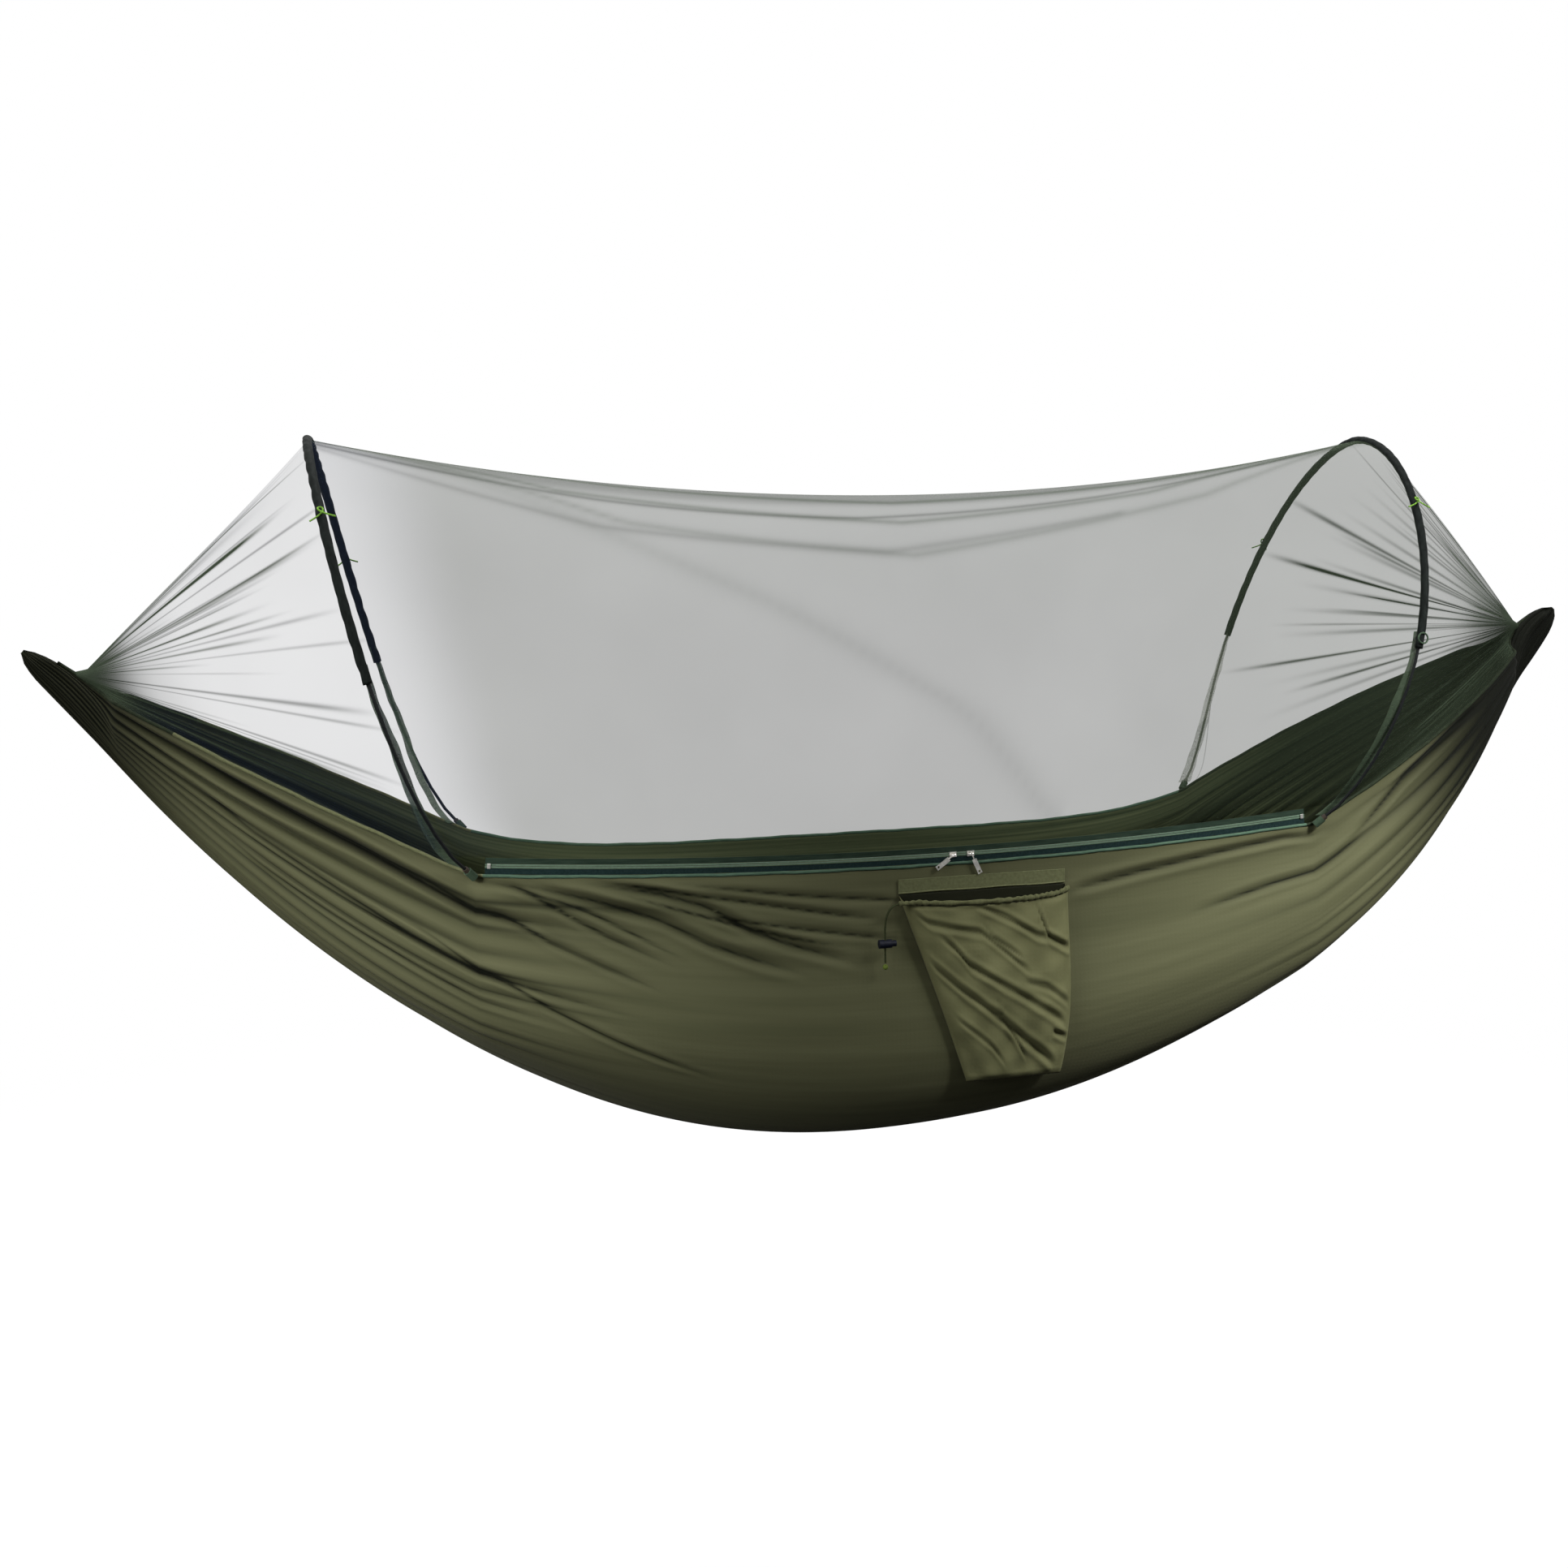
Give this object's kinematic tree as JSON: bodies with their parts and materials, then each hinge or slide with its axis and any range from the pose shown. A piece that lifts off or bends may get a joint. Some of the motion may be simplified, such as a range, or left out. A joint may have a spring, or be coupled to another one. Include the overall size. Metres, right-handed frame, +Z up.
{
  "type": "hammock tent",
  "caption": "Olive camping hammock hung by its ends, with an insect net held up by bent rods, a long zip and a small sack on its side.",
  "frame": {"origin": "middle of the straight line between the two rope channels, from which the hammock hangs", "axes": "+X along the bed towards its right end, +Y to the far side, away from the zip, +Z up"},
  "size_m": [2.4984, 0.5834, 1.1115],
  "materials": {
    "black_fibreglass": "satin rod",
    "black_sleeve": "matt webbing",
    "brown_rubber": "matt",
    "dark_olive_hem": "matt rolled hem",
    "green_zip_coil": "satin coil",
    "grey_net": "fine open mesh",
    "navy_plastic": "moulded",
    "neon_cord": "braided cord",
    "nickel": "satin plated",
    "olive_cord": "braided cord",
    "olive_nylon": "matt woven nylon",
    "teal_zip_tape": "woven tape"
  },
  "bodies": {
    "hammock": {"bed_far_side": "olive_nylon", "bed_near_side": "olive_nylon", "far_rim_hem": "dark_olive_hem", "hammock_bed": "olive_nylon", "left_hem_channel": "dark_olive_hem", "left_zip_stop": "nickel", "near_rim_band": "olive_nylon", "near_rim_hem": "dark_olive_hem", "net_left_end": "grey_net", "net_middle": "grey_net", "net_right_end": "grey_net", "right_hem_channel": "dark_olive_hem", "right_zip_stop": "nickel", "sack_strip": "olive_nylon", "zip_coil_lower": "green_zip_coil", "zip_coil_upper": "green_zip_coil", "zip_tape_lower": "teal_zip_tape", "zip_tape_upper": "teal_zip_tape"},
    "left_hoop": {"left_far_foot_pocket": "dark_olive_hem", "left_far_net_tie": "neon_cord", "left_far_pole_tip": "brown_rubber", "left_hoop_pole": "black_fibreglass", "left_hoop_sleeve": "black_sleeve", "left_near_foot_pocket": "dark_olive_hem", "left_near_net_tie": "neon_cord", "left_near_pole_tip": "brown_rubber"},
    "right_hoop": {"right_far_foot_pocket": "dark_olive_hem", "right_far_net_tie": "neon_cord", "right_far_pole_tip": "brown_rubber", "right_hoop_pole": "black_fibreglass", "right_hoop_sleeve": "black_sleeve", "right_near_foot_pocket": "dark_olive_hem", "right_near_net_tie": "neon_cord", "right_near_pole_tip": "brown_rubber", "tie_back_loop": "neon_cord"},
    "left_slider": {"left_zip_slider": "nickel"},
    "left_pull": {"left_zip_pull": "nickel"},
    "right_slider": {"right_zip_slider": "nickel"},
    "right_pull": {"right_zip_pull": "nickel"},
    "sack": {"sack_body": "olive_nylon", "sack_mouth_channel": "olive_nylon", "drawcord_front": "olive_cord", "drawcord_back": "olive_cord", "drawcord_knot": "neon_cord"},
    "cord_lock": {"cord_lock_body": "navy_plastic", "cord_lock_spring": "nickel"},
    "lock_plunger": {"cord_lock_plunger": "navy_plastic"}
  },
  "joints": [
    {"name": "left_hoop_fold", "type": "hinge", "parent": "hammock", "child": "left_hoop", "pos_m": [-0.65, 0, -0.315], "axis": [0, 1, 0], "range_deg": [0, 100], "deforming": ["net_middle", "net_left_end", "net_right_end"]},
    {"name": "right_hoop_fold", "type": "hinge", "parent": "hammock", "child": "right_hoop", "pos_m": [0.65, 0, -0.315], "axis": [0, 1, 0], "range_deg": [-100, 0]},
    {"name": "left_slider_run", "type": "hinge", "parent": "hammock", "child": "left_slider", "pos_m": [0, -0.21, 7.49557], "axis": [0, 1, 0], "range_deg": [0, 4.54]},
    {"name": "right_slider_run", "type": "hinge", "parent": "hammock", "child": "right_slider", "pos_m": [0, -0.21, 7.49557], "axis": [0, 1, 0], "range_deg": [-3.6, 0]},
    {"name": "left_pull_swing", "type": "hinge", "parent": "left_slider", "child": "left_pull", "pos_m": [0.04991, -0.2169, -0.32769], "axis": [0, 1, 0], "range_deg": [-65, 5]},
    {"name": "right_pull_swing", "type": "hinge", "parent": "right_slider", "child": "right_pull", "pos_m": [0.07786, -0.2169, -0.32746], "axis": [0, 1, 0], "range_deg": [-36, 34]},
    {"name": "sack_swing", "type": "hinge", "parent": "hammock", "child": "sack", "pos_m": [0, -0.21309, -0.3815], "axis": [-1, 0, 0], "range_deg": [0, 50]},
    {"name": "cord_lock_slide", "type": "slide", "parent": "sack", "child": "cord_lock", "axis": [0, 0, -1], "range_m": [-0.01, 0.02]},
    {"name": "plunger_press", "type": "slide", "parent": "cord_lock", "child": "lock_plunger", "axis": [-1, 0, 0], "range_m": [0, 0.0035], "stiffness_N_per_m": 400, "springref_m": -0.004, "deforming": ["cord_lock_spring"]}
  ],
  "couplings": [
    {"joint": "right_hoop_fold", "follows": "left_hoop_fold", "ratio": -1}
  ]
}
